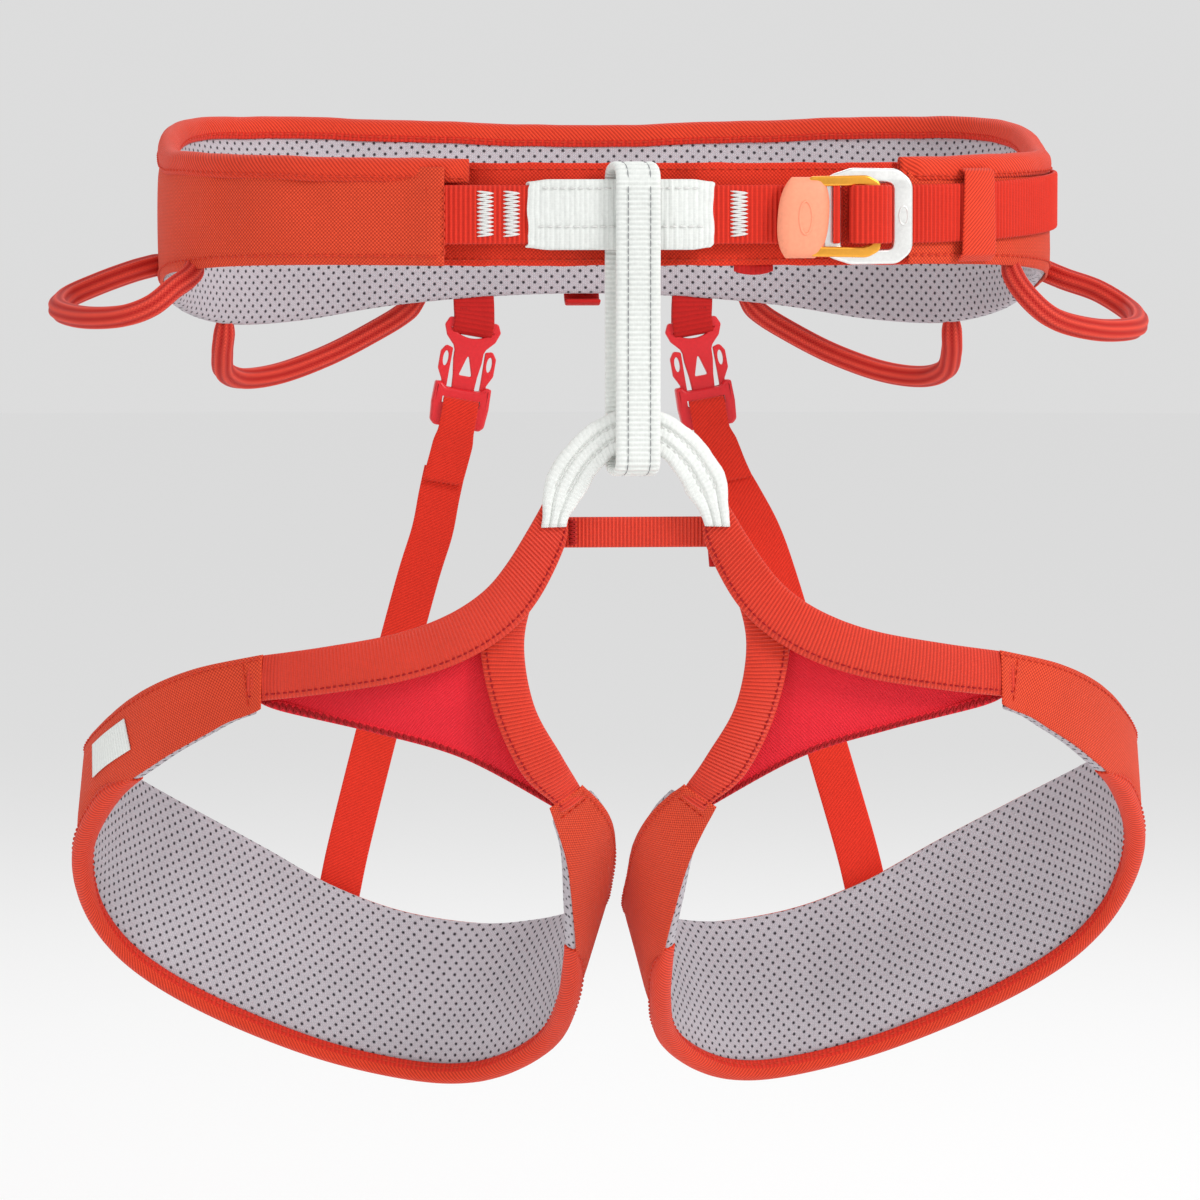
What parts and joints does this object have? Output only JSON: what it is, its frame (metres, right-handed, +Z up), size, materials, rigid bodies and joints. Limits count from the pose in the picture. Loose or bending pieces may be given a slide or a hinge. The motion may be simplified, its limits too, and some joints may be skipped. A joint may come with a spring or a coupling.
{
  "type": "climbing harness",
  "caption": "Sport climbing harness: padded waist belt with slide buckle, gear loops, vertical belay loop, tie-in arch, padded leg loops and elastic rear risers with side-release buckles.",
  "frame": {"origin": "centre of the waist ring, level with the middle of the front webbing", "axes": "+Z up, +X to the wearer's left, the front of the belt towards -Y"},
  "size_m": [0.3875, 0.2212, 0.3493],
  "materials": {
    "shell_cloth": "woven nylon, matt",
    "foam_core": "closed-cell foam",
    "mesh_lining": "perforated spacer mesh, matt",
    "binding_tape": "twill tape",
    "red_webbing": "ribbed webbing, slight sheen",
    "dark_webbing": "webbing",
    "white_webbing": "ribbed webbing",
    "gusset_mesh": "stretch mesh",
    "elastic_webbing": "twill elastic",
    "braided_sheath": "braided sheath over a plastic tube",
    "red_plastic": "moulded acetal",
    "gold_aluminium": "gold anodised",
    "silver_aluminium": "satin",
    "soft_tab": "soft moulded"
  },
  "bodies": {
    "waist_belt": {"waist_shell": "shell_cloth", "waist_foam": "foam_core", "waist_lining": "mesh_lining", "waist_top_binding": "binding_tape", "waist_front_panel": "shell_cloth", "waist_strap": "red_webbing", "tie_in_sleeve": "white_webbing", "buckle_inner_frame": "gold_aluminium", "buckle_webbing_fold": "dark_webbing", "buckle_pull_tab": "soft_tab", "waist_strap_tail": "red_webbing", "strap_keeper": "red_webbing", "haul_loop": "dark_webbing", "riser_upper_strap_left": "dark_webbing", "riser_upper_strap_right": "dark_webbing", "riser_buckle_male_left": "red_plastic", "riser_buckle_male_right": "red_plastic"},
    "buckle_slider": {"buckle_outer_frame": "silver_aluminium"},
    "belay_loop": {"belay_loop": "white_webbing"},
    "lower_tie_in": {"tie_in_arch": "white_webbing", "leg_bridge_strap": "red_webbing"},
    "leg_loop_left": {"leg_shell_left": "shell_cloth", "leg_foam_left": "foam_core", "leg_lining_left": "mesh_lining", "leg_rim_binding_left": "binding_tape", "leg_outer_strap_left": "red_webbing", "leg_inner_strap_left": "red_webbing", "leg_gusset_left": "gusset_mesh", "riser_elastic_left": "elastic_webbing"},
    "gear_front_left": {"gear_loop_front_left": "braided_sheath"},
    "gear_rear_left": {"gear_loop_rear_left": "braided_sheath"},
    "riser_socket_left": {"riser_buckle_female_left": "red_plastic", "riser_strap_end_left": "elastic_webbing"},
    "prong_outer_left": {"riser_prong_outer_left": "red_plastic"},
    "prong_inner_left": {"riser_prong_inner_left": "red_plastic"},
    "leg_loop_right": {"leg_shell_right": "shell_cloth", "leg_foam_right": "foam_core", "leg_lining_right": "mesh_lining", "leg_rim_binding_right": "binding_tape", "leg_outer_strap_right": "red_webbing", "leg_inner_strap_right": "red_webbing", "leg_gusset_right": "gusset_mesh", "riser_elastic_right": "elastic_webbing"},
    "gear_front_right": {"gear_loop_front_right": "braided_sheath"},
    "gear_rear_right": {"gear_loop_rear_right": "braided_sheath"},
    "riser_socket_right": {"riser_buckle_female_right": "red_plastic", "riser_strap_end_right": "elastic_webbing"},
    "prong_outer_right": {"riser_prong_outer_right": "red_plastic"},
    "prong_inner_right": {"riser_prong_inner_right": "red_plastic"}
  },
  "joints": [
    {"name": "leg_swing_left", "type": "hinge", "parent": "waist_belt", "child": "leg_loop_left", "pos_m": [0.033, -0.096, -0.104], "axis": [1, 0, 0], "range_deg": [-25, 8], "stiffness_Nm_per_rad": 4, "deforming": ["riser_elastic_left"]},
    {"name": "leg_swing_right", "type": "hinge", "parent": "waist_belt", "child": "leg_loop_right", "pos_m": [-0.027, -0.096, -0.104], "axis": [1, 0, 0], "range_deg": [-25, 8], "stiffness_Nm_per_rad": 4, "deforming": ["riser_elastic_right"]},
    {"name": "belay_loop_swing", "type": "hinge", "parent": "waist_belt", "child": "belay_loop", "pos_m": [0.003, -0.1035, 0.004], "axis": [1, 0, 0], "range_deg": [-2.2, 1], "stiffness_Nm_per_rad": 0.2},
    {"name": "arch_tilt", "type": "hinge", "parent": "waist_belt", "child": "lower_tie_in", "pos_m": [0.003, -0.096, -0.104], "axis": [1, 0, 0], "range_deg": [-2.5, 5.5], "stiffness_Nm_per_rad": 0.05},
    {"name": "buckle_slide", "type": "slide", "parent": "waist_belt", "child": "buckle_slider", "axis": [0.9691, 0.2467, 0], "range_m": [0, 0.003]},
    {"name": "gear_swing_front_left", "type": "hinge", "parent": "waist_belt", "child": "gear_front_left", "pos_m": [0.144, -0.0455, -0.0255], "axis": [0.2818, 0.955, 0.0927], "range_deg": [-20, 15], "stiffness_Nm_per_rad": 0.08},
    {"name": "gear_swing_rear_left", "type": "hinge", "parent": "waist_belt", "child": "gear_rear_left", "pos_m": [0.1255, 0.0655, -0.0475], "axis": [-0.8896, 0.4481, 0.0883], "range_deg": [-20, 20], "stiffness_Nm_per_rad": 0.08},
    {"name": "gear_swing_front_right", "type": "hinge", "parent": "waist_belt", "child": "gear_front_right", "pos_m": [-0.144, -0.0455, -0.0255], "axis": [0.2818, -0.955, -0.0927], "range_deg": [-20, 15], "stiffness_Nm_per_rad": 0.08},
    {"name": "gear_swing_rear_right", "type": "hinge", "parent": "waist_belt", "child": "gear_rear_right", "pos_m": [-0.1255, 0.0655, -0.0475], "axis": [-0.8896, -0.4481, -0.0883], "range_deg": [-20, 20], "stiffness_Nm_per_rad": 0.08},
    {"name": "riser_release_left", "type": "slide", "parent": "waist_belt", "child": "riser_socket_left", "axis": [0.1736, 0, -0.9848], "range_m": [0, 0.014]},
    {"name": "prong_squeeze_left", "type": "hinge", "parent": "waist_belt", "child": "prong_outer_left", "pos_m": [0.04963, 0.0975, -0.052], "axis": [0, 1, 0], "range_deg": [0, 6], "stiffness_Nm_per_rad": 0.05},
    {"name": "prong_follow_left", "type": "hinge", "parent": "waist_belt", "child": "prong_inner_left", "pos_m": [0.03427, 0.0975, -0.05471], "axis": [0, -1, 0], "range_deg": [0, 6], "stiffness_Nm_per_rad": 0.05},
    {"name": "riser_release_right", "type": "slide", "parent": "waist_belt", "child": "riser_socket_right", "axis": [-0.1736, 0, -0.9848], "range_m": [0, 0.014]},
    {"name": "prong_squeeze_right", "type": "hinge", "parent": "waist_belt", "child": "prong_outer_right", "pos_m": [-0.04963, 0.0975, -0.052], "axis": [0, -1, 0], "range_deg": [0, 6], "stiffness_Nm_per_rad": 0.05},
    {"name": "prong_follow_right", "type": "hinge", "parent": "waist_belt", "child": "prong_inner_right", "pos_m": [-0.03427, 0.0975, -0.05471], "axis": [0, 1, 0], "range_deg": [0, 6], "stiffness_Nm_per_rad": 0.05}
  ],
  "couplings": [
    {"joint": "arch_tilt", "follows": "belay_loop_swing", "ratio": -2.5},
    {"joint": "prong_follow_left", "follows": "prong_squeeze_left", "ratio": 1},
    {"joint": "prong_follow_right", "follows": "prong_squeeze_right", "ratio": 1}
  ]
}
